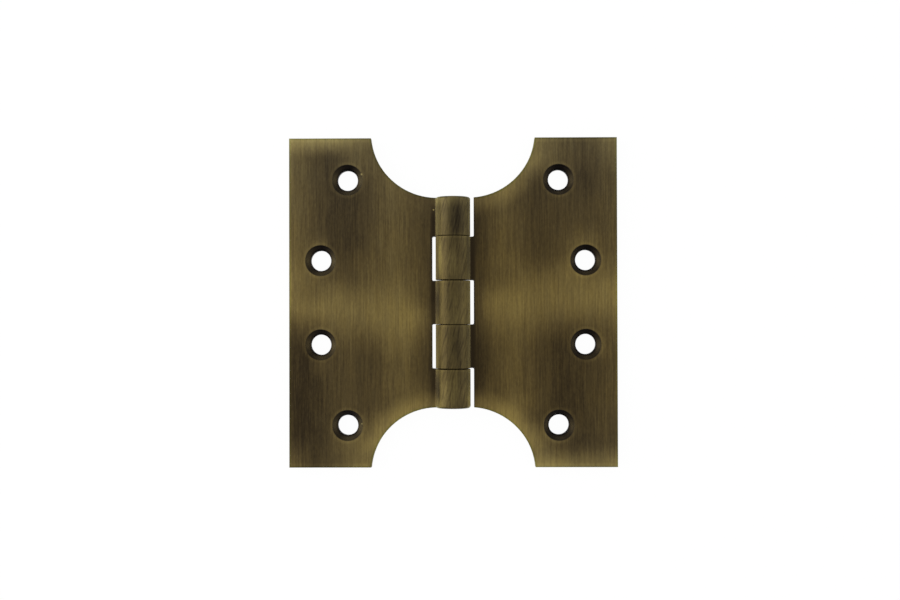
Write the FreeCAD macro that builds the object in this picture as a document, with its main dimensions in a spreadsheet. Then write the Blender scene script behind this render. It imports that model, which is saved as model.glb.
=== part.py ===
import FreeCAD, Part
import math
import os

import Sketcher
from FreeCAD import Placement, Rotation, Vector

# Parliament hinge of solid brass, 102 x 102 mm laid open, lying on its back with its screw holes up.
# Both leaves are sawn from one drawn section, a flat leaf with the barrel on its edge. The corners are
# scooped out to a narrow neck, the barrel is slotted into knuckles that interleave, and a fixed pin
# joins them. The narrow neck and long reach let a door fold right back, clear of the architrave.
# +Z is up, out of the countersunk faces. +Y runs along the pin. +X points to the two-knuckle leaf.
# The origin is under the middle of the barrel, on the surface that the hinge lies on.

DRIVING_SIZES = {
    # leaf
    "leaf_height": 102.0,  # along the pin
    "leaf_reach": 50.8,  # pin axis to the outer edge, 2 inches
    "leaf_thickness": 3.5,
    "corner_width": 25.4,  # straight top or bottom edge that the scoop leaves, 1 inch
    "neck_height": 64.9,  # what the scoops leave at the barrel, and the barrel's own length
    "scoop_offset": 4.9,  # pin axis to the bottom of the scoop
    # barrel, 10.7 mm in diameter from the leaf's thickness and what stands proud of each side of it
    "closed_gap": 2.5,  # between the countersunk faces with the leaves folded together
    "barrel_back_step": 0.6,  # how far the barrel stands proud of the leaf's back
    "knuckle_length": 13.45,  # the three inner knuckles; the two end ones take the rest
    "knuckle_gap": 0.15,  # mean gap between neighbouring knuckles
    "end_play_taken": 0.07,  # how far the turning leaf has slid up the pin from the middle
    "slot_clearance": 1.1,  # barrel to the floor of the slot that the other leaf's knuckle turns in
    "slot_corner": 0.45,
    # pin
    "pin_diameter": 5.0,
    "pin_running_gap": 0.05,  # all round the pin, in the leaf that turns on it
    "pin_chamfer": 0.3,
    # screw holes, countersunk at 90 degrees
    "screw_hole_diameter": 6.3,
    "countersink_diameter": 9.6,
    "edge_screw_inset": 9.75,  # outer edge to the two middle holes
    "edge_screw_spacing": 26.1,
    "corner_screw_inset": 18.1,  # outer edge to the holes in the corners
    "corner_screw_end_inset": 13.0,  # top or bottom edge to the holes in the corners
    # broken edges and roots
    "root_radius": 0.4,  # leaf to barrel, on the countersunk side
    "back_root_radius": 1.0,  # leaf to barrel, on the back
    "arris_chamfer": 0.2,  # round the countersunk face, and on round the ends of the barrel
    "barrel_end_radius": 0.65,
    "knuckle_chamfer": 0.12,  # round each slot, where the knuckles face each other
    # how far the scoop's outline runs on past the leaf's end, and how closely edges are told apart
    "scoop_overrun": 1.0,
    "match": 0.001,
}
DERIVED_SIZES = {
    "front_height": "=barrel_back_step + leaf_thickness",
    "barrel_radius": "=front_height + closed_gap / 2",
    "barrel_crest": "=2 * barrel_radius",
    "half_height": "=leaf_height / 2",
    "half_neck": "=neck_height / 2",
    "scoop_depth": "=half_height - half_neck",
    "scoop_width": "=leaf_reach - corner_width - scoop_offset",
    "scoop_radius": "=(scoop_width ^ 2 + scoop_depth ^ 2) / (2 * scoop_depth)",
    "slot_floor": "=barrel_radius + slot_clearance",
    "fixed_middle_end": "=knuckle_length / 2",
    "turning_inner_end": "=fixed_middle_end + knuckle_gap",
    "turning_outer_end": "=turning_inner_end + knuckle_length",
    "fixed_outer_start": "=turning_outer_end + knuckle_gap",
    "edge_screw_x": "=leaf_reach - edge_screw_inset",
    "edge_screw_y": "=edge_screw_spacing / 2",
    "corner_screw_x": "=leaf_reach - corner_screw_inset",
    "corner_screw_y": "=half_height - corner_screw_end_inset",
}

doc = FreeCAD.newDocument("parliament_hinge")
sheet = doc.addObject("Spreadsheet::Sheet", "Sizes")
for row, (name, value) in enumerate({**DRIVING_SIZES, **DERIVED_SIZES}.items(), start=1):
    sheet.set("A%d" % row, name)
    sheet.set("B%d" % row, str(value))
    sheet.setAlias("B%d" % row, name)
doc.recompute()

ORIGIN = (-1, 1)
START, END, CENTRE = range(1, 4)


def size(name):
    return float(getattr(sheet, name))


# Sketches and features


def add_body(label):
    body = doc.addObject("PartDesign::Body", label)
    body.Label = label
    return body


def add_sketch(body, name, role, raised_by=None):
    """An empty sketch on one of the body's origin planes, raised by a named height."""
    plane = next(item for item in body.Origin.OriginFeatures if item.Role == role)
    sketch = body.newObject("Sketcher::SketchObject", name)
    sketch.AttachmentSupport = [(plane, "")]
    sketch.MapMode = "FlatFace"
    if raised_by:
        sketch.setExpression("AttachmentOffset.Base.z", "Sizes." + raised_by)
    return sketch


def add_line(sketch, start, end):
    return sketch.addGeometry(Part.LineSegment(Vector(*start, 0), Vector(*end, 0)))


def add_arc(sketch, centre, radius, start_angle, end_angle):
    circle = Part.Circle(Vector(*centre, 0), Vector(0, 0, 1), radius)
    start, end = math.radians(start_angle), math.radians(end_angle)
    return sketch.addGeometry(Part.ArcOfCircle(circle, start, end))


def fix(sketch, kind, *places):
    sketch.addConstraint(Sketcher.Constraint(kind, *places))


def drive(sketch, kind, places, expression):
    """A dimension whose value is an expression of the sheet's sizes."""
    value = sketch.evalExpression(expression)
    index = sketch.addConstraint(Sketcher.Constraint(kind, *places, float(value)))
    sketch.setExpression("Constraints[%d]" % index, expression)


def solve(sketch):
    doc.recompute()
    if sketch.solve() != 0 or not sketch.FullyConstrained:
        raise ValueError("%s is not fully constrained" % sketch.Label)


def add_feature(body, kind, name, profile, **settings):
    feature = body.newObject("PartDesign::" + kind, name)
    feature.Profile = profile
    for key, value in settings.items():
        setattr(feature, key, value)
    return feature


def cut_through(body, name, sketch):
    pocket = add_feature(body, "Pocket", name, sketch, Type="ThroughAll", SideType="Symmetric")
    doc.recompute()
    return pocket


def mirror_end_for_end(body, name, feature):
    """Repeats a feature of the top half in the bottom half."""
    middle = next(item for item in body.Origin.OriginFeatures if item.Role == "XZ_Plane")
    mirrored = body.newObject("PartDesign::Mirrored", name)
    mirrored.Originals = [feature]
    mirrored.MirrorPlane = (middle, [""])
    body.Tip = mirrored
    doc.recompute()
    return mirrored


# Leaf, modelled on the +X side of the pin


def draw_section(body):
    """The drawn brass section: a flat leaf whose inner edge runs through its roots into the barrel."""
    radius, reach = size("barrel_radius"), size("leaf_reach")
    front, back = size("front_height"), size("barrel_back_step")
    front_root, back_root = size("root_radius"), size("back_root_radius")
    front_drop = radius - front - front_root
    back_drop = radius - back + back_root
    front_x = math.sqrt((radius + front_root) ** 2 - front_drop**2)
    back_x = math.sqrt((radius + back_root) ** 2 - back_drop**2)
    front_angle = math.degrees(math.atan2(front_drop, front_x))
    back_angle = math.degrees(math.atan2(back_drop, back_x))

    sketch = add_sketch(body, "drawn_section", "XZ_Plane")
    back_line = add_line(sketch, (back_x, back), (reach, back))
    edge_line = add_line(sketch, (reach, back), (reach, front))
    front_line = add_line(sketch, (reach, front), (front_x, front))
    front_arc = add_arc(sketch, (front_x, front + front_root), front_root, 180 - front_angle, 270)
    barrel_arc = add_arc(sketch, (0, radius), radius, -front_angle, 360 - back_angle)
    back_arc = add_arc(sketch, (back_x, back - back_root), back_root, 90, 180 - back_angle)
    fix(sketch, "Coincident", back_line, END, edge_line, START)
    fix(sketch, "Coincident", edge_line, END, front_line, START)
    fix(sketch, "Tangent", front_line, END, front_arc, END)
    fix(sketch, "Tangent", front_arc, START, barrel_arc, START)
    fix(sketch, "Tangent", barrel_arc, END, back_arc, END)
    fix(sketch, "Tangent", back_arc, START, back_line, START)
    fix(sketch, "Horizontal", back_line)
    fix(sketch, "Vertical", edge_line)
    fix(sketch, "Horizontal", front_line)
    fix(sketch, "PointOnObject", barrel_arc, CENTRE, -2)
    drive(sketch, "DistanceY", (*ORIGIN, barrel_arc, CENTRE), "Sizes.barrel_radius")
    drive(sketch, "Radius", (barrel_arc,), "Sizes.barrel_radius")
    drive(sketch, "Radius", (front_arc,), "Sizes.root_radius")
    drive(sketch, "Radius", (back_arc,), "Sizes.back_root_radius")
    drive(sketch, "DistanceX", (*ORIGIN, edge_line, END), "Sizes.leaf_reach")
    drive(sketch, "DistanceY", (*ORIGIN, edge_line, END), "Sizes.front_height")
    drive(sketch, "DistanceY", (edge_line, START, edge_line, END), "Sizes.leaf_thickness")
    solve(sketch)
    pad = add_feature(body, "Pad", "drawn_blank", sketch, SideType="Symmetric")
    pad.setExpression("Length", "Sizes.leaf_height")
    doc.recompute()


def cut_scoops(body):
    """Takes the top and bottom of the barrel off, with a round scoop out of the leaf beside it."""
    radius, offset = size("scoop_radius"), size("scoop_offset")
    low = size("half_neck")
    high = max(low + radius, size("half_height")) + size("scoop_overrun")
    near, far = -size("slot_floor"), offset + radius
    sketch = add_sketch(body, "scoop_outline", "XY_Plane")
    arc = add_arc(sketch, (offset, low + radius), radius, 270, 360)
    far_line = add_line(sketch, (far, low + radius), (far, high))
    top_line = add_line(sketch, (far, high), (near, high))
    near_line = add_line(sketch, (near, high), (near, low))
    neck_line = add_line(sketch, (near, low), (offset, low))
    fix(sketch, "Tangent", arc, END, far_line, START)
    fix(sketch, "Coincident", far_line, END, top_line, START)
    fix(sketch, "Coincident", top_line, END, near_line, START)
    fix(sketch, "Coincident", near_line, END, neck_line, START)
    fix(sketch, "Tangent", neck_line, END, arc, START)
    fix(sketch, "Vertical", far_line)
    fix(sketch, "Horizontal", top_line)
    fix(sketch, "Vertical", near_line)
    fix(sketch, "Horizontal", neck_line)
    drive(sketch, "Radius", (arc,), "Sizes.scoop_radius")
    drive(sketch, "DistanceX", (*ORIGIN, arc, CENTRE), "Sizes.scoop_offset")
    drive(sketch, "DistanceY", (*ORIGIN, neck_line, END), "Sizes.half_neck")
    drive(sketch, "DistanceX", (near_line, END, *ORIGIN), "Sizes.slot_floor")
    top = "max(Sizes.half_neck + Sizes.scoop_radius; Sizes.half_height) + Sizes.scoop_overrun"
    drive(sketch, "DistanceY", (*ORIGIN, far_line, END), top)
    solve(sketch)
    scoop = cut_through(body, "scoop", sketch)
    mirror_end_for_end(body, "scoop_mirrored", scoop)


def cut_slot(body, name, low, high, low_sign=1):
    """A slot across the barrel for one of the other leaf's knuckles, with rounded floor corners."""
    corner, floor = size("slot_corner"), size("slot_floor")
    sketch = add_sketch(body, name + "_outline", "XY_Plane")
    start = low_sign * float(sketch.evalExpression(low))
    end = float(sketch.evalExpression(high))
    low_line = add_line(sketch, (-floor, start), (floor - corner, start))
    low_arc = add_arc(sketch, (floor - corner, start + corner), corner, 270, 360)
    floor_line = add_line(sketch, (floor, start + corner), (floor, end - corner))
    high_arc = add_arc(sketch, (floor - corner, end - corner), corner, 0, 90)
    high_line = add_line(sketch, (floor - corner, end), (-floor, end))
    open_line = add_line(sketch, (-floor, end), (-floor, start))
    fix(sketch, "Tangent", low_line, END, low_arc, START)
    fix(sketch, "Tangent", low_arc, END, floor_line, START)
    fix(sketch, "Tangent", floor_line, END, high_arc, START)
    fix(sketch, "Tangent", high_arc, END, high_line, START)
    fix(sketch, "Coincident", high_line, END, open_line, START)
    fix(sketch, "Coincident", open_line, END, low_line, START)
    fix(sketch, "Horizontal", low_line)
    fix(sketch, "Vertical", floor_line)
    fix(sketch, "Horizontal", high_line)
    fix(sketch, "Vertical", open_line)
    drive(sketch, "Radius", (low_arc,), "Sizes.slot_corner")
    drive(sketch, "Radius", (high_arc,), "Sizes.slot_corner")
    drive(sketch, "DistanceX", (*ORIGIN, floor_line, START), "Sizes.slot_floor")
    drive(sketch, "DistanceX", (open_line, START, *ORIGIN), "Sizes.slot_floor")
    drive(sketch, "DistanceY", (*ORIGIN, open_line, START), high)
    if low_sign > 0:
        drive(sketch, "DistanceY", (*ORIGIN, open_line, END), low)
    else:
        drive(sketch, "DistanceY", (open_line, END, *ORIGIN), low)
    solve(sketch)
    return cut_through(body, name, sketch)


def ream_bore(body, diameter):
    sketch = add_sketch(body, "bore_outline", "XZ_Plane")
    centre = Vector(0, size("barrel_radius"), 0)
    circle = sketch.addGeometry(Part.Circle(centre, Vector(0, 0, 1), size("pin_diameter") / 2))
    fix(sketch, "PointOnObject", circle, CENTRE, -2)
    drive(sketch, "DistanceY", (*ORIGIN, circle, CENTRE), "Sizes.barrel_radius")
    drive(sketch, "Diameter", (circle,), diameter)
    solve(sketch)
    cut_through(body, "bore", sketch)


def drill_screw_holes(body):
    """Two countersunk holes in the top half, repeated in the bottom half."""
    sketch = add_sketch(body, "screw_places", "XY_Plane", "front_height")
    for place in ("edge_screw", "corner_screw"):
        centre = Vector(size(place + "_x"), size(place + "_y"), 0)
        circle = sketch.addGeometry(Part.Circle(centre, Vector(0, 0, 1), size("screw_hole_diameter") / 2))
        drive(sketch, "DistanceX", (*ORIGIN, circle, CENTRE), "Sizes." + place + "_x")
        drive(sketch, "DistanceY", (*ORIGIN, circle, CENTRE), "Sizes." + place + "_y")
        drive(sketch, "Diameter", (circle,), "Sizes.screw_hole_diameter")
    solve(sketch)
    hole = add_feature(body, "Hole", "screw_holes", sketch)
    doc.recompute()
    hole.DepthType = "ThroughAll"
    hole.HoleCutType = "Countersink"
    hole.HoleCutCustomValues = True
    hole.setExpression("Diameter", "Sizes.screw_hole_diameter")
    hole.setExpression("HoleCutDiameter", "Sizes.countersink_diameter")
    hole.HoleCutCountersinkAngle = 90
    doc.recompute()
    mirror_end_for_end(body, "screw_holes_mirrored", hole)


def is_level(item, height):
    box, match = item.BoundBox, size("match")
    return abs(box.ZMin - height) < match and abs(box.ZMax - height) < match


def name_edges(shape, wanted):
    return ["Edge%d" % n for n, edge in enumerate(shape.Edges, 1) if wanted(edge)]


def chamfer_edges(body, name, edges, expression):
    """Chamfers the named edges of the body as it stands."""
    base = body.Tip
    chamfer = body.newObject("PartDesign::Chamfer", name)
    chamfer.Base = (base, edges)
    chamfer.setExpression("Size", expression)
    doc.recompute()


def chamfer_outline(body):
    """Takes the arris off all round the countersunk face and on round the ends of the barrel."""
    height = size("front_height")
    shape = body.Tip.Shape
    face = next(face for face in shape.Faces if is_level(face, height))
    root = min(face.OuterWire.Edges, key=lambda edge: edge.BoundBox.XMax)
    arrises = [edge for edge in face.OuterWire.Edges if not edge.isSame(root)]
    names = name_edges(shape, lambda edge: any(edge.isSame(arris) for arris in arrises))
    chamfer_edges(body, "arris", names, "Sizes.arris_chamfer")


def chamfer_knuckles(body):
    """Chamfers the edges of the slots, which run on round the knuckles as one smooth loop."""
    radius, match = size("barrel_radius"), size("match")
    ends = size("half_neck") - size("barrel_end_radius")

    def is_knuckle_rim(edge):
        if not isinstance(edge.Curve, Part.Circle):
            return False
        inside = abs(edge.Curve.Center.y) < ends - match
        return inside and abs(edge.Curve.Radius - radius) < match and edge.Length > math.pi * radius

    rims = name_edges(body.Tip.Shape, is_knuckle_rim)
    chamfer_edges(body, "knuckle_edges", rims, "Sizes.knuckle_chamfer")


def round_barrel_ends(body):
    """Rounds the rim of the two end knuckles with a ring turned off about the pin axis."""
    radius, corner, end = size("barrel_radius"), size("barrel_end_radius"), size("half_neck")
    crest, past = size("barrel_crest"), size("half_height")
    sketch = add_sketch(body, "rim_outline", "YZ_Plane")
    arc = add_arc(sketch, (end - corner, crest - corner), corner, 0, 90)
    low_line = add_line(sketch, (end, crest - corner), (past, crest - corner))
    past_line = add_line(sketch, (past, crest - corner), (past, crest))
    crest_line = add_line(sketch, (past, crest), (end - corner, crest))
    axis = add_line(sketch, (0, radius), (end, radius))
    sketch.toggleConstruction(axis)
    fix(sketch, "Coincident", arc, START, low_line, START)
    fix(sketch, "Coincident", low_line, END, past_line, START)
    fix(sketch, "Coincident", past_line, END, crest_line, START)
    fix(sketch, "Tangent", crest_line, END, arc, END)
    fix(sketch, "Horizontal", low_line)
    fix(sketch, "Vertical", past_line)
    fix(sketch, "Horizontal", crest_line)
    fix(sketch, "Horizontal", axis)
    fix(sketch, "PointOnObject", axis, START, -2)
    drive(sketch, "Radius", (arc,), "Sizes.barrel_end_radius")
    drive(sketch, "DistanceX", (*ORIGIN, arc, START), "Sizes.half_neck")
    drive(sketch, "DistanceY", (*ORIGIN, arc, START), "Sizes.barrel_crest - Sizes.barrel_end_radius")
    drive(sketch, "DistanceX", (*ORIGIN, past_line, START), "Sizes.half_height")
    drive(sketch, "DistanceY", (*ORIGIN, crest_line, END), "Sizes.barrel_crest")
    drive(sketch, "DistanceY", (*ORIGIN, axis, START), "Sizes.barrel_radius")
    drive(sketch, "DistanceX", (axis, START, axis, END), "Sizes.half_neck")
    solve(sketch)
    rim = add_feature(body, "Groove", "rim", sketch, Angle=360.0)
    rim.ReferenceAxis = (sketch, ["Axis0"])
    doc.recompute()
    mirror_end_for_end(body, "rim_mirrored", rim)


def make_leaf(label, is_fixed):
    """A leaf with knuckles 1, 3 and 5 if the pin is fixed in it, or 2 and 4 if it turns on the pin."""
    body = add_body(label)
    draw_section(body)
    cut_scoops(body)
    chamfer_outline(body)
    if is_fixed:
        round_barrel_ends(body)
        slot = cut_slot(body, "knuckle_slot", "Sizes.fixed_middle_end", "Sizes.fixed_outer_start")
        mirror_end_for_end(body, "knuckle_slot_mirrored", slot)
        bore = "Sizes.pin_diameter"
    else:
        inner = "Sizes.turning_inner_end"
        cut_slot(body, "middle_slot", inner, inner, low_sign=-1)
        beyond = "Sizes.half_neck + Sizes.slot_clearance"
        notch = cut_slot(body, "end_notch", "Sizes.turning_outer_end", beyond)
        mirror_end_for_end(body, "end_notch_mirrored", notch)
        bore = "Sizes.pin_diameter + 2 * Sizes.pin_running_gap"
    chamfer_knuckles(body)
    ream_bore(body, bore)
    drill_screw_holes(body)
    return body


def make_pin():
    body = add_body("hinge_pin")
    sketch = add_sketch(body, "pin_section", "XZ_Plane")
    centre = Vector(0, size("barrel_radius"), 0)
    circle = sketch.addGeometry(Part.Circle(centre, Vector(0, 0, 1), size("pin_diameter") / 2))
    fix(sketch, "PointOnObject", circle, CENTRE, -2)
    drive(sketch, "DistanceY", (*ORIGIN, circle, CENTRE), "Sizes.barrel_radius")
    drive(sketch, "Diameter", (circle,), "Sizes.pin_diameter")
    solve(sketch)
    pad = add_feature(body, "Pad", "pin_blank", sketch, SideType="Symmetric")
    pad.setExpression("Length", "Sizes.neck_height")
    doc.recompute()
    rims = name_edges(pad.Shape, lambda edge: edge.isClosed())
    chamfer_edges(body, "pin_ends", rims, "Sizes.pin_chamfer")
    return body


def check():
    doc.recompute()
    for item in doc.Objects:
        if "Invalid" in item.State or "Error" in item.State:
            raise ValueError("%s failed: %s" % (item.Label, item.State))


right_leaf = make_leaf("right_leaf", is_fixed=False)
left_leaf = make_leaf("left_leaf", is_fixed=True)
hinge_pin = make_pin()
left_leaf.Placement = Placement(Vector(0, 0, 0), Rotation(Vector(0, 0, 1), 180))
right_leaf.setExpression("Placement.Base.y", "Sizes.end_play_taken")
check()

os.makedirs("parts", exist_ok=True)
for body in (left_leaf, right_leaf, hinge_pin):
    shape = body.Shape
    if shape.isNull() or not shape.isValid() or len(shape.Solids) != 1:
        raise ValueError("%s is not one valid solid" % body.Label)
    shape.exportStep("parts/%s.step" % body.Label)
    print("%s: %.0f mm3 of brass" % (body.Label, shape.Volume))
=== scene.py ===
# %% [markdown]
# # A parliament hinge in antique brass
# This hinge has two wide leaves that swing on one pin, and each is cut away in a
# scoop at both ends of the barrel, so that a door can fold flat past its frame.
# Its solids are finished already: each hole, slot and knuckle is cut to size, so
# they are loaded here as a fixed frame and nothing is modelled over them. What
# they lack is what this lesson is about: brass that was toned brown, brushed
# along the pin and wiped back, and light that shows it.

# %% Load the hinge
import math
import bpy
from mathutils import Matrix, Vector


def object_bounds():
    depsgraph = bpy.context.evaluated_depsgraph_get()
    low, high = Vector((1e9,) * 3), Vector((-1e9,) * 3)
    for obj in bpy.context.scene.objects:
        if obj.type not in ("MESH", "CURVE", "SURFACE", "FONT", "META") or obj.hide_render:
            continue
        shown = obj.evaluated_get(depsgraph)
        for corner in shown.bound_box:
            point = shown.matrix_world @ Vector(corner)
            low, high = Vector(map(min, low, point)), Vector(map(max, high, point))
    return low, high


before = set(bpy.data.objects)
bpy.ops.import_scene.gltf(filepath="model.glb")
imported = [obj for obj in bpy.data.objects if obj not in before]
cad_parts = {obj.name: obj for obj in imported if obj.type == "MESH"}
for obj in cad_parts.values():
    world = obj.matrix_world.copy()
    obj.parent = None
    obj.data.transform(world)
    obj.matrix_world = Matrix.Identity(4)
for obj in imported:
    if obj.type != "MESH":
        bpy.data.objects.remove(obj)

cad_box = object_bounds()
low, high = cad_box
print("pieces:", sorted(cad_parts))
print("size in mm:", [round(1000 * side, 1) for side in high - low])

# %% [markdown]
# ## The sizes that the finish follows
# A toned finish knows the shape that it lies on. It is lighter at the edges, beside the barrel it is
# dark with brown patina and painted shade, and the countersinks carry painted light and shade.
# So the materials need to know where those are. These few sizes in millimetres
# are all that they use. A place is given as its distance from the pin and its
# distance from the hinge's middle along the pin, so that it holds for all four
# quarters of the hinge.

# %% Sizes in millimetres
MM = 0.001
HALF_WIDTH = high.x / MM
HALF_HEIGHT = high.y / MM
FRONT_HEIGHT = 4.1
BARREL_RADIUS = 5.35
KNUCKLE_PITCH = 13.6
SCOOP_CENTRE = (4.9, 53.05)
SCOOP_RADIUS = 20.6
EDGE_SCREW = (41.05, 13.05)
CORNER_SCREW = (32.7, 38.0)
COUNTERSINK_RADIUS = 4.8
BORE_RADIUS = 3.15
print("leaves reach", round(HALF_WIDTH, 2), "mm and stand", round(HALF_HEIGHT, 2), "mm")

# %% [markdown]
# ## Writing a material as sums
# A material's nodes could be added and joined one by one, but a mask such as the
# distance to an edge needs a dozen of them, and nobody can read that afterwards.
# So a small class stands for one output of a node. Adding or multiplying two of
# them adds the Math node that does it, and the mask reads like a formula.

# %% Wire: one changing number in a material
class Wire:
    """An output of a shader node, used in sums as a number would be."""

    def __init__(self, finish, socket):
        self.finish = finish
        self.socket = socket

    def math(self, operation, *values):
        return self.finish.add("ShaderNodeMath", {"operation": operation}, dict(enumerate(values)))

    def other(self, name):
        """Another output of the same node."""
        return Wire(self.finish, self.socket.node.outputs[name])

    def __add__(self, value):
        return self.math("ADD", self, value)

    def __radd__(self, value):
        return self.math("ADD", value, self)

    def __sub__(self, value):
        return self.math("SUBTRACT", self, value)

    def __rsub__(self, value):
        return self.math("SUBTRACT", value, self)

    def __mul__(self, value):
        return self.math("MULTIPLY", self, value)

    def __rmul__(self, value):
        return self.math("MULTIPLY", value, self)

    def __truediv__(self, value):
        return self.math("DIVIDE", self, value)

    def __pow__(self, value):
        return self.math("POWER", self, value)

    def __abs__(self):
        return self.math("ABSOLUTE", self)

    def least(self, other):
        return self.math("MINIMUM", self, other)

    def towards(self, value, share):
        """Goes from this number to another by a share from 0 to 1."""
        return self + (value - self) * share

    def step(self, start, end):
        """Rises softly from 0 at start to 1 at end, or falls where end is the lower."""
        settings = {"interpolation_type": "SMOOTHSTEP"}
        return self.finish.add("ShaderNodeMapRange", settings, {0: self, 1: start, 2: end})


# %% [markdown]
# One method adds every other node: it takes the node's type, its settings, and
# the numbers or wires that go into its sockets. Settings come first, because
# they decide which sockets a node shows. The room's light is written with the
# same class later, because a world has nodes as a material has.

# %% Finish: a material being written
BRIGHTEST = 160.0


class Finish:
    """The nodes of a new material or world, added in the order of the work."""

    def __init__(self, owner):
        self.owner = owner
        self.owner.use_nodes = True
        self.tree = owner.node_tree
        self.tree.nodes.clear()

    def add(self, kind, settings=None, inputs=None, output=0):
        node = self.tree.nodes.new(kind)
        for name, value in (settings or {}).items():
            if name in ("stops", "curve"):
                self.set_stops(node.color_ramp, value)
                node.color_ramp.interpolation = "LINEAR" if name == "stops" else "CARDINAL"
            else:
                setattr(node, name, value)
        for place, value in (inputs or {}).items():
            if isinstance(value, Wire):
                self.tree.links.new(value.socket, node.inputs[place])
            else:
                node.inputs[place].default_value = value
        return Wire(self, node.outputs[output]) if node.outputs else None

    def done(self, inputs):
        """Ends the material in one metal surface."""
        surface = self.add("ShaderNodeBsdfPrincipled", None, inputs)
        self.add("ShaderNodeOutputMaterial", None, {"Surface": surface})
        print(self.owner.name, "has", len(self.tree.nodes), "nodes")
        return self.owner

    def set_stops(self, ramp, stops):
        while len(ramp.elements) < len(stops):
            ramp.elements.new(1.0)
        for element, (position, colour) in zip(ramp.elements, stops):
            element.position = position
            element.color = colour

    def millimetres(self):
        """Where a point of the piece is, in millimetres from under the barrel's middle."""
        metres = self.add("ShaderNodeTexCoord", output="Object")
        inputs = {0: metres, "Scale": 1.0 / MM}
        return self.add("ShaderNodeVectorMath", {"operation": "SCALE"}, inputs)

    def noise(self, place, scale, turn=0.0, detail=2.0, roughness=0.5):
        """Noise about nought, from about -1 to 1, at so many features to the millimetre each way."""
        inputs = {"Vector": place, "Rotation": (0.0, 0.0, turn)}
        turned = self.add("ShaderNodeMapping", None, inputs)
        spread = self.add("ShaderNodeVectorMath", {"operation": "MULTIPLY"}, {0: turned, 1: scale})
        inputs = {"Vector": spread, "Scale": 1.0, "Detail": detail, "Roughness": roughness}
        return (self.add("ShaderNodeTexNoise", None, inputs) - 0.5) * 4.0

    def profile(self, along, points, full=BRIGHTEST):
        """A soft curve through a few points, each a place in mm and a height from 0 to full."""
        start, end = points[0][0], points[-1][0]
        inputs = {0: along, 1: float(start), 2: float(end)}
        part = self.add("ShaderNodeMapRange", None, inputs)
        stops = []
        for at, height in points:
            stops.append(((at - start) / (end - start), (height / full,) * 3 + (1.0,)))
        return self.add("ShaderNodeValToRGB", {"curve": stops}, {0: part})

    def cloud(self, place, middle, reach):
        """A round or long soft cloud on the leaf, 1 at its middle and 0 at its rim."""
        scale = (1.0 / reach[0], 1.0 / reach[1], 0.0)
        shift = (-middle[0] / reach[0], -middle[1] / reach[1], 0.0)
        inputs = {"Vector": place, "Scale": scale, "Location": shift}
        inside = self.add("ShaderNodeMapping", None, inputs)
        settings = {"gradient_type": "SPHERICAL"}
        ball = self.add("ShaderNodeTexGradient", settings, {"Vector": inside}, output="Fac")
        return ball.step(0.0, 1.0)


# %% [markdown]
# ## The colours of antique brass
# Brass is yellow, but this finish is toned to a dark olive brown and only wiped
# back to a dull gold. Its colours are written here as a painter would read them,
# from 0 to 255, from nearly black in a countersink to the lightest rubbed places.
# A material wants them as light, so each is changed from screen values first.
# Four casts go over them: gold where the wheel ran most, grey where the brown
# lies thickest, olive on the sharp corners, and a paler one on the barrel.

# %% Colours
def light(level):
    """One screen value from 0 to 255 as the linear value that a material takes."""
    part = level / 255.0
    return part / 12.92 if part < 0.04045 else ((part + 0.055) / 1.055) ** 2.4


def colour(red, green, blue):
    return (light(red), light(green), light(blue), 1.0)


TONES = (
    (0.0, (0, 0, 0)),
    (25.0, (25, 20, 15)),
    (50.0, (50, 42, 28)),
    (75.0, (75, 64, 40)),
    (100.0, (100, 87, 53)),
    (130.0, (130, 115, 68)),
    (160.0, (160, 144, 86)),
)
STOPS = [(level / BRIGHTEST, colour(*mix)) for level, mix in TONES]
OLIVE = (0.9, 1.02, 0.78, 1.0)
GOLD = (1.045, 1.0, 0.88, 1.0)
GREY = (0.945, 1.0, 1.24, 1.0)
RUBBED = (0.965, 1.01, 0.98, 1.0)
WHITE = (1.0, 1.0, 1.0, 1.0)
print("brass tones:", len(STOPS))
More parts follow.
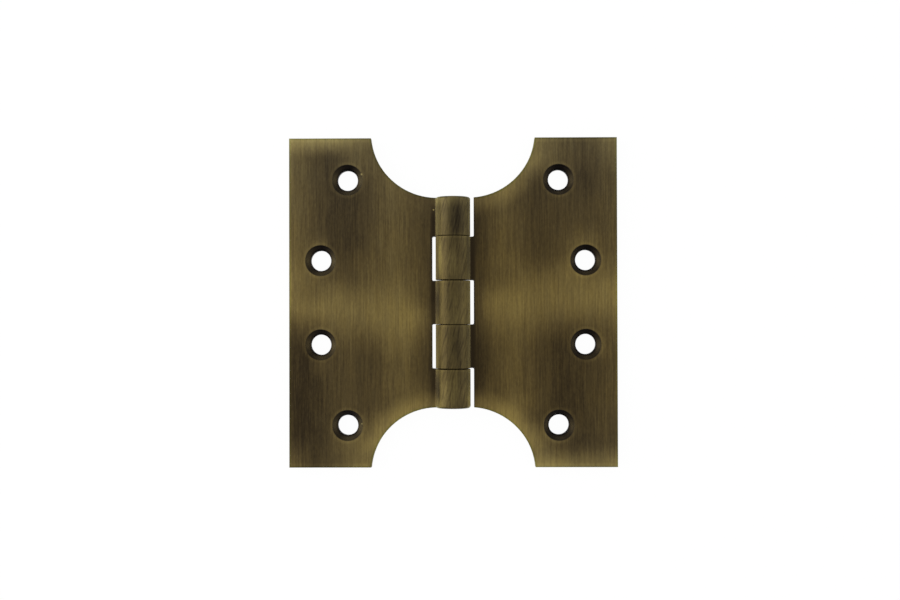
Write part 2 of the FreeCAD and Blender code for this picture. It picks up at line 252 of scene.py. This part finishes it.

# %% [markdown]
# ## Where the brown lies on each leaf
# No two leaves tone alike, and the pattern is broad and soft. Only its broad
# streaks and patches are noted here. Their places were measured, and then rounded
# to what an eye would tell apart: about a millimetre, and five tones of 255.
#
# - top, upper, lower and bottom: the streaks along the pin, light and dark, from
#   the outer edge to the pin, and depths: how far top and bottom reach in;
# - band: where the light band crosses, and its slope; the band is partly toning and partly a painted
#   reflection;
# - scoops: how much brighter the scoops' edges were wiped, above and below;
# - clouds: the place, reach and change of each soft patch;
# - roots: how dark the corner beside the barrel is, above and below, as patina and painted shade;
# - cool: from gold at 0 to grey at 1, across the leaf and along it;
# - cone: how light the countersinks' painted light and shade is on the whole;
# - knuckle_clouds: the soft patches on its knuckles, partly painted light and shade;
# - and the tiny light specks: the place and radius of each.

# %% Tones of the fixed leaf
LEFT_TONES = {
    "top": ((-50.8, 130), (-35, 125), (-24, 95)),
    "upper": ((-50.8, 95), (-40, 65), (-30, 60), (-19, 85), (-7, 65)),
    "lower": ((-50.8, 55), (-46, 50), (-34, 70), (-27, 65), (-15, 85), (-7, 55)),
    "bottom": ((-50.8, 85), (-42, 65), (-31, 95), (-25, 105)),
    "depths": (7.0, 12.0),
    "band": (-7.0, -0.17),
    "scoops": (5.0, 35.0),
    "clouds": (
        ((-31.0, 44.0), (9.0, 10.0), 25.0),
        ((-41.0, 18.0), (5.0, 5.0), 15.0),
        ((-29.0, 12.0), (8.0, 7.0), 10.0),
        ((-45.0, 3.0), (8.0, 7.0), -15.0),
        ((-10.0, -5.0), (8.0, 7.0), 10.0),
        ((-41.0, -20.0), (5.0, 5.0), 10.0),
        ((-9.0, -28.0), (6.0, 8.0), 10.0),
        ((-31.0, -42.0), (10.0, 11.0), 25.0),
        ((-24.0, -36.0), (6.0, 6.0), 10.0),
    ),
    "roots": (0.9, 0.55),
    "cool_across": ((-50.8, 0.1), (-38, 0.2), (-20, 0.1), (-7, 0.05), (5.35, 0.3)),
    "cool_along": ((-51, 0.2), (-25, 0.1), (15, 0.2), (51, 0.7)),
    "cone": 1.1,
    "knuckle_clouds": (
        ((1.0, 25.0), (4.0, 8.0), -20.0),
        ((0.0, 33.0), (8.0, 5.0), 30.0),
        ((-5.0, 32.0), (2.0, 3.0), 25.0),
        ((-5.0, 0.0), (1.5, 9.0), -50.0),
        ((3.0, 0.0), (5.0, 9.0), 10.0),
        ((2.0, -6.0), (6.0, 5.0), 10.0),
        ((-5.0, -26.0), (1.5, 7.0), -50.0),
        ((-1.0, -27.0), (6.0, 9.0), 15.0),
        ((-4.0, -32.0), (2.0, 4.0), 25.0),
        ((5.0, -30.0), (1.5, 6.0), 25.0),
    ),
    "light_specks": ((-28.3, 39.8, 0.3), (-28.3, -37.5, 0.22), (-6.0, 28.7, 0.25)),
}

# %% [markdown]
# The turning leaf carries knuckles 2 and 4, and has a dark patch between its two
# lower screw holes.

# %% Tones of the turning leaf
RIGHT_TONES = {
    "top": ((25, 110), (39, 75), (50.8, 105)),
    "upper": ((7, 55), (15, 80), (25, 65), (35, 70), (42, 70), (50.8, 80)),
    "lower": ((7, 45), (13, 70), (20, 80), (34, 55), (50.8, 75)),
    "bottom": ((25, 130), (42, 105), (50.8, 115)),
    "depths": (14.0, 8.5),
    "band": (0.0, 0.05),
    "scoops": (30.0, 40.0),
    "clouds": (
        ((40.0, 38.0), (7.0, 12.0), -10.0),
        ((37.0, 11.0), (7.0, 7.0), 15.0),
        ((40.0, 18.0), (9.0, 8.0), 20.0),
        ((31.0, 45.0), (7.0, 7.0), 15.0),
        ((14.0, 7.0), (9.0, 7.0), -15.0),
        ((26.0, 2.0), (25.0, 8.0), -5.0),
        ((46.0, -14.0), (5.0, 7.0), 10.0),
        ((9.0, -28.0), (6.0, 8.0), 10.0),
        ((21.0, -31.0), (9.0, 6.0), 10.0),
        ((31.0, -41.0), (9.0, 8.0), 25.0),
    ),
    "roots": (0.85, 0.85),
    "cool_across": ((-5.35, 0.15), (5, 0.4), (7, 0.05), (20, 0.05), (50.8, 0.2)),
    "cool_along": ((-51, 0.4), (-31, 0), (-10, 0), (20, 0.1), (51, 0.7)),
    "cone": 0.9,
    "knuckle_clouds": (
        ((-4.0, 14.0), (1.0, 9.0), 35.0),
        ((0.0, 12.0), (5.0, 8.0), 10.0),
        ((5.0, 14.0), (1.0, 9.0), -25.0),
        ((-5.0, 0.0), (1.0, 30.0), -15.0),
        ((1.0, -14.0), (2.0, 9.0), -10.0),
        ((5.0, -14.0), (1.0, 9.0), -10.0),
    ),
    "light_specks": (),
}

# %% [markdown]
# What both leaves share comes next. The light band, partly wiped-back toning and partly a painted
# reflection of the lamps, starts dark beside the barrel, and is a plain bell about 40 mm wide.
# The knuckles get painted shade on the crest and a painted highlight on the sides, which are partly
# rubbed wear too. A turned cone gets painted light on the left, right and below, and painted shade
# above.
# Its notes go by degrees from its right-hand side.

# %% Tones of both leaves
# The light band's tone: partly wiped-back toning, partly a painted reflection of the lamps.
BAND_TONING_AND_SHEEN = ((5.5, 60), (12, 100), (20, 107), (30, 105), (50.8, 110))
BAND_REACH = (-20.0, 19.0)
BAND_STEEPNESS = 1.6
# Across the barrel: painted shade on the crest, and a painted highlight on the sides, which are
# partly rubbed wear too.
KNUCKLE_PAINTED_LIGHT_AND_WEAR = (
    (-5.35, 120), (-4.3, 95), (-3.0, 70), (0, 70), (2.6, 65), (4.0, 85), (5.35, 110),
)
# Painted light and shade round each countersink: light on the left, right and below, dark above.
CONE_PAINTED_LIGHT_AND_SHADE = ((-180, 70), (-135, 45), (-90, 65), (-45, 55), (0, 75), (45, 45), (90, 25), (180, 70))
print("clouds:", len(LEFT_TONES["clouds"]) + len(RIGHT_TONES["clouds"]), "on the leaves")


# %% [markdown]
# ## Measuring on the leaf
# Each step of the finish follows something on the leaf, so the places are worked
# out first: how far a point is from the ends, the side, the scoop and the nearest
# screw hole, and whether it is on the barrel, on a sharp corner or in a
# countersink. Both leaves are alike, so distances from the pin and from the
# middle serve all four quarters.

# %% Places on a leaf
def apart(one_way, other_way):
    """How far two distances at right angles take a point."""
    return (one_way ** 2.0 + other_way ** 2.0) ** 0.5


class LeafPlaces:
    """Wires that say where a point of the leaf is, in millimetres or from 0 to 1."""

    def __init__(self, finish, leaf_side):
        self.all = finish.millimetres()
        self.x = finish.add("ShaderNodeSeparateXYZ", None, {0: self.all}, output="X")
        self.y = self.x.other("Y")
        self.z = self.x.other("Z")
        self.across = abs(self.x)
        self.along = abs(self.y)
        self.top = self.y.step(-1.0, 1.0)

        # All round the barrel, but for the corners where it meets its own leaf.
        to_pin = apart(self.x, self.z - BARREL_RADIUS)
        from_root = abs(self.z - FRONT_HEIGHT + 0.65)
        root = from_root.step(1.35, 0.75) * (self.x * leaf_side).step(0.0, 3.0)
        self.barrel = to_pin.step(BARREL_RADIUS + 0.4, BARREL_RADIUS + 0.1) * (1.0 - root)

        self.to_end = HALF_HEIGHT - self.along
        self.to_side = HALF_WIDTH - self.across
        self.to_scoop = self.away_from(SCOOP_CENTRE) - SCOOP_RADIUS
        self.to_edge = self.to_end.least(self.to_side).least(self.to_scoop)
        self.face = self.z.step(FRONT_HEIGHT - 0.9, FRONT_HEIGHT - 0.3)
        self.arris = self.to_edge.step(0.7, 0.3) * self.face

        self.to_hole = self.away_from(EDGE_SCREW).least(self.away_from(CORNER_SCREW))
        in_cone = self.to_hole.step(COUNTERSINK_RADIUS + 0.15, COUNTERSINK_RADIUS - 0.2)
        self.cone = in_cone * self.z.step(0.8, 1.0)

        # The angle round the hole in this quarter of the leaf, from -180 to 180 degrees.
        corner = self.along.step(25.0, 26.0)
        hole_x = EDGE_SCREW[0] + (CORNER_SCREW[0] - EDGE_SCREW[0]) * corner
        hole_y = EDGE_SCREW[1] + (CORNER_SCREW[1] - EDGE_SCREW[1]) * corner
        right = self.x - hole_x * leaf_side
        up = self.y - hole_y * (self.top * 2.0 - 1.0)
        self.round_hole = up.math("ARCTAN2", up, right) * math.degrees(1.0)

    def away_from(self, place):
        """How far a point is from this place in its own quarter of the hinge."""
        return apart(self.across - place[0], self.along - place[1])

    def by_half(self, above, below):
        """One value in the upper half of the hinge, and another in the lower."""
        return below + (above - below) * self.top


# %% [markdown]
# ## The leaf's toning
# The rows are laid one over the other, as coats would be. The two halves go first, then the band,
# which is partly a painted reflection of the lamps, and the clouds.
# Then come the ends and the scoops, where the wheel ran off the edge and wiped the brown thinner.
# A faint broad noise, long along the pin, keeps it from looking painted.

# %% Toning
def toned_leaf(finish, at, tones):
    def row(name):
        return finish.profile(at.x, tones[name]) * BRIGHTEST

    tone = row("lower").towards(row("upper"), at.y.step(-7.0, 5.0))
    # The light band: partly toning, partly a painted reflection of the lamps.
    middle, slope = tones["band"]
    below, above = BAND_REACH
    from_band = at.y - middle - at.x * slope
    toning_and_sheen_bell = from_band.step(below, 0.0) * from_band.step(above, 0.0)
    band_toning_and_sheen = finish.profile(at.across, BAND_TONING_AND_SHEEN) * BRIGHTEST
    tone = tone.towards(band_toning_and_sheen, toning_and_sheen_bell ** BAND_STEEPNESS)
    for middle, reach, change in tones["clouds"]:
        tone = tone + finish.cloud(at.all, middle, reach) * change

    top_depth, bottom_depth = tones["depths"]
    tone = tone.towards(row("top"), at.to_end.step(top_depth, 0.0) * at.top)
    tone = tone.towards(row("bottom"), at.to_end.step(bottom_depth, 0.0) * (1.0 - at.top))
    wiped = at.to_scoop.step(7.0, 0.5) * at.to_end.step(2.0, 9.0)
    tone = tone + wiped * at.by_half(*tones["scoops"])
    return tone + 2.2 * finish.noise(at.all, (0.16, 0.035, 0.16), detail=3.0)


# %% [markdown]
# ## The knuckles' toning and painted light
# The barrel was wiped more evenly. Across it lies painted shade on the crest and a painted highlight
# on each side, brightest on the left. The sides are partly rubbed wear too, and the soft patches add
# more painted light and shade.
# A hand went over it last, and left short dark strokes that lean a little from the pin, and the
# upper end of each knuckle is made lighter.

# %% Knuckles
LEAN = math.radians(14.0)
STROKES = 15.0


def knuckle_tone_and_painted_light(finish, at, tones):
    # Painted shade on the barrel's crest and a painted highlight on its sides; the patches add more
    # painted light and shade.
    tone = finish.profile(at.x, KNUCKLE_PAINTED_LIGHT_AND_WEAR) * BRIGHTEST
    for middle, reach, change in tones["knuckle_clouds"]:
        tone = tone + finish.cloud(at.all, middle, reach) * change
    strokes = finish.noise(at.all, (2.0, 0.15, 0.7), turn=LEAN, detail=1.5)
    tone = tone + 1.5 - STROKES * strokes.step(-0.2, 0.9)

    # From 0 at a knuckle's lower end to 1 at its upper end.
    up_the_barrel = at.y / KNUCKLE_PITCH + 0.5
    up_the_knuckle = up_the_barrel.math("FRACT", up_the_barrel)
    tone = tone + 7.0 * up_the_knuckle.step(0.92, 0.97)
    return tone + 3.0 * finish.noise(at.all, (0.3, 0.12, 0.3), detail=2.0)


# %% [markdown]
# ## Brushing
# The leaf and the barrel were brushed alike, in streaks that run along the pin.
# One noise would give streaks all of one kind, so three are mixed: a few long
# ones, many fine ones about half a millimetre apart, and a short grain that
# breaks them up.

# %% Brushing
def brushed(finish, at):
    long_marks = finish.noise(at.all, (1.2, 0.03, 1.2), detail=0.0)
    fine_marks = finish.noise(at.all, (2.3, 0.09, 2.3), detail=1.0, roughness=0.7)
    grain = finish.noise(at.all, (2.3, 0.8, 2.3), detail=1.0)
    return 0.2 * long_marks + 0.75 * fine_marks + 0.45 * grain


# %% [markdown]
# ## Patina and painted shade in the roots, painted light in the countersinks
# The roots, where the leaf meets the barrel, are dark partly with brown patina and partly with
# painted shade.
# The countersinks were turned, and their tone is painted to change round the hole as light and
# shade, and it darkens in two steps down to the bore.
# A faint lighter halo lies round each rim.

# %% Roots and countersinks
# Dark corner beside the barrel: partly brown patina, partly painted shade.
ROOT_PATINA_AND_SHADE_TONE = 38.0


def roots_with_patina_and_painted_shade(tone, at, tones):
    # Darkens the root strip: partly brown patina, partly painted shade.
    root = at.across.step(7.3, 6.2) * (1.0 - at.barrel) * at.to_scoop.step(0.0, 7.0)
    return tone.towards(ROOT_PATINA_AND_SHADE_TONE, root * at.by_half(*tones["roots"]))


def countersinks_with_painted_light(finish, tone, at, tones):
    # Painted light and shade round the hole: light on the left, right and below, dark above.
    turned = finish.profile(at.round_hole, CONE_PAINTED_LIGHT_AND_SHADE) * BRIGHTEST * tones["cone"]
    turned = turned - 14.0 * at.to_hole.step(BORE_RADIUS + 0.65, BORE_RADIUS + 0.25)
    turned = turned - 16.0 * at.to_hole.step(BORE_RADIUS + 0.3, BORE_RADIUS)
    turned = turned - 6.0 * abs(at.to_hole - COUNTERSINK_RADIUS + 0.3).step(0.3, 0.0)
    halo = at.to_hole.step(COUNTERSINK_RADIUS + 1.2, COUNTERSINK_RADIUS + 0.3)
    stain = finish.noise(at.all, (1.2, 1.2, 1.2))
    return (tone + 10.0 * halo).towards(turned + 5.0 * stain, at.cone)


# %% [markdown]
# ## Edges
# The arris itself is a thin dull line. Inside it the ends and the outer side are made lighter, and
# three tiny spots are made light.
# These follow the distance to the edge, so they need no painting.

# %% Edges
SPECK_TONE = 140.0


def edge_lines_and_specks(tone, at, tones):
    wiped = at.to_end.step(1.7, 1.0) * (1.0 - at.arris)
    tone = tone - 6.0 * at.arris + 7.0 * wiped + 9.0 * at.to_side.step(0.9, 0.5) * at.face
    # Three tiny light spots, made lighter than the brass around them.
    for x, y, radius in tones["light_specks"]:
        speck = apart(at.x - x, at.y - y).step(radius + 0.1, radius - 0.1)
        tone = tone.towards(SPECK_TONE, speck)
    return tone


# %% [markdown]
# ## From tone to colour
# So far the finish is one number, the tone. The ramp of brass tones turns it into
# a colour, and the casts are multiplied over it. A Mix node keeps the colour, where
# a Math node would turn it grey. Its sockets are picked by number, because the
# colour ones share their names with others.

# %% Colour of the brass
FACTOR, FIRST, SECOND, MIXED = 0, 6, 7, 2


def tinted(finish, tone, at, tones):
    def mixed(blend, share, first, second):
        settings = {"data_type": "RGBA", "blend_type": blend}
        inputs = {FACTOR: share, FIRST: first, SECOND: second}
        return finish.add("ShaderNodeMix", settings, inputs, output=MIXED)

    across = finish.profile(at.x, tones["cool_across"], 1.0)
    along = finish.profile(at.y, tones["cool_along"], 1.0)
    stain = finish.noise(at.all, (0.5, 0.12, 0.5), detail=3.0)
    cool = across + along + 0.6 * at.cone + 0.12 * stain
    brass = finish.add("ShaderNodeValToRGB", {"stops": STOPS}, {0: tone / BRIGHTEST})
    brass = mixed("MULTIPLY", at.barrel, brass, RUBBED)
    brass = mixed("MULTIPLY", 1.0, brass, mixed("MIX", cool, GOLD, GREY))
    return mixed("MULTIPLY", at.arris, brass, OLIVE)


# %% [markdown]
# ## Putting the leaf's finish together
# The steps are taken in the order of the work. The streaks go into the colour, the
# roughness and the bump together, as real scratches do. On the barrel's sides the
# toning is left as a matt skin, so there the metal is turned down.

# %% Leaf finish
STREAKS = 11.0


def leaf_finish(name, tones, leaf_side):
    finish = Finish(bpy.data.materials.new(name))
    at = LeafPlaces(finish, leaf_side)
    brushing = brushed(finish, at)
    tone = toned_leaf(finish, at, tones)
    tone = tone.towards(knuckle_tone_and_painted_light(finish, at, tones), at.barrel)
    tone = roots_with_patina_and_painted_shade(tone + STREAKS * brushing, at, tones)
    tone = countersinks_with_painted_light(finish, tone, at, tones)
    tone = edge_lines_and_specks(tone, at, tones)
    height = {"Strength": 0.25, "Distance": 0.02 * MM, "Height": brushing}
    inputs = {
        "Base Color": tinted(finish, tone, at, tones),
        "Metallic": 1.0 - 0.85 * at.across.step(3.9, 5.2) * at.barrel,
        "Roughness": 0.44 + 0.04 * brushing + 0.2 * at.cone,
        "Normal": finish.add("ShaderNodeBump", None, height),
    }
    return finish.done(inputs)


left_brass = leaf_finish("left_leaf_brass", LEFT_TONES, -1)
right_brass = leaf_finish("right_leaf_brass", RIGHT_TONES, 1)
for node, brass in (("left_leaf", left_brass), ("right_leaf", right_brass)):
    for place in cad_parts[node].material_slots:
        place.material = brass

# %% [markdown]
# ## The pin's brass
# Only the pin's ends show, flush in the barrel. It was turned on a lathe, so its
# marks are rings round its own axis, and its toning is a little darker.

# %% Pin finish
def pin_finish():
    finish = Finish(bpy.data.materials.new("pin_end_brass"))
    place = finish.millimetres()
    x = finish.add("ShaderNodeSeparateXYZ", None, {0: place}, output="X")
    from_axis = apart(x, x.other("Z") - BARREL_RADIUS)
    wave = from_axis * 24.0
    rings = wave.math("SINE", wave)
    stain = finish.noise(place, (0.9, 0.9, 0.9), detail=3.0)
    tone = 62.0 + 5.0 * rings + 9.0 * stain + 14.0 * from_axis.step(2.1, 2.5)
    height = {"Strength": 0.3, "Distance": 0.02 * MM, "Height": rings}
    inputs = {
        "Base Color": finish.add("ShaderNodeValToRGB", {"stops": STOPS}, {0: tone / BRIGHTEST}),
        "Metallic": 1.0,
        "Roughness": 0.42 + 0.05 * stain,
        "Normal": finish.add("ShaderNodeBump", None, height),
    }
    return finish.done(inputs)


pin_brass = pin_finish()
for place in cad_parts["hinge_pin"].material_slots:
    place.material = pin_brass
print("pin brass on", [place.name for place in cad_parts["hinge_pin"].material_slots])

# %% [markdown]
# ## The table that it lies on
# The hinge was laid on white and lit so evenly that the white shows no tone. A
# lamp that strong would burn out the brass, so the table adds its own white where
# the camera or a reflection sees it, and keeps a little of the real shadow.

# %% White table
def table_white():
    finish = Finish(bpy.data.materials.new("table_white"))
    path = finish.add("ShaderNodeLightPath", output="Is Camera Ray")
    seen = path.math("MAXIMUM", path, path.other("Is Glossy Ray"))
    matt = finish.add("ShaderNodeBsdfDiffuse", None, {"Color": (0.9, 0.9, 0.9, 1.0)})
    white = finish.add("ShaderNodeEmission", None, {"Color": WHITE, "Strength": 1.0})
    both = finish.add("ShaderNodeMixShader", None, {0: seen * 0.97, 1: matt, 2: white})
    finish.add("ShaderNodeOutputMaterial", None, {"Surface": both})
    return finish.owner


bpy.ops.object.select_all(action="DESELECT")
bpy.ops.mesh.primitive_plane_add(size=4.0, location=(0.0, 0.0, -0.02 * MM))
table = bpy.context.object
table.name = "white_table"
table.data.materials.append(table_white())
print("table added,", table.dimensions.x, "m wide")

# %% [markdown]
# ## Light
# Brushed metal shows its surroundings more than its colour, so the lamps are
# large and soft. An even white room lights everything, a tall softbox stands on
# the left, which gives the barrel its bright left shoulder, and a weaker one on
# the right opens its dark side. The room is a shade stronger than the white that
# the camera sees of it.

# %% Room and softboxes
def white_room():
    finish = Finish(bpy.data.worlds.new("white_room"))
    seen = finish.add("ShaderNodeLightPath", output="Is Camera Ray")
    around = finish.add("ShaderNodeBackground", None, {"Color": WHITE, "Strength": 1.03})
    behind = finish.add("ShaderNodeBackground", None, {"Color": WHITE, "Strength": 1.0})
    both = finish.add("ShaderNodeMixShader", None, {0: seen, 1: around, 2: behind})
    finish.add("ShaderNodeOutputWorld", None, {"Surface": both})
    return finish.owner


def softbox(name, place, watts):
    """A square lamp of half a metre that faces the hinge."""
    bpy.ops.object.light_add(type="AREA", location=place)
    lamp = bpy.context.object
    lamp.name = name
    lamp.data.shape = "SQUARE"
    lamp.data.size = 0.5
    lamp.data.energy = watts
    lamp.rotation_mode = "QUATERNION"
    lamp.rotation_quaternion = (-Vector(place)).to_track_quat("-Z", "Y")


bpy.context.scene.world = white_room()
softbox("left_softbox", (-0.55, 0.1, 0.3), 2.2)
softbox("right_softbox", (0.6, -0.05, 0.2), 0.6)

# %% [markdown]
# ## The camera
# The hinge was photographed from almost straight above. The camera's place and
# tilt were found by matching the corners of the leaves and the screw holes, so
# every edge falls where the photograph has it.

# %% Camera
eye = bpy.data.cameras.new("above")
eye.sensor_width = 36.0
eye.lens = 47.43
camera = bpy.data.objects.new("above", eye)
bpy.context.scene.collection.objects.link(camera)
camera.location = (2.92 * MM, -3.06 * MM, 370.9 * MM)
camera.rotation_euler = tuple(math.radians(turn) for turn in (0.597, 0.606, -0.134))
bpy.context.scene.camera = camera
bpy.context.scene.view_settings.view_transform = "Standard"
print("camera", round(camera.location.z / MM), "mm above the table")
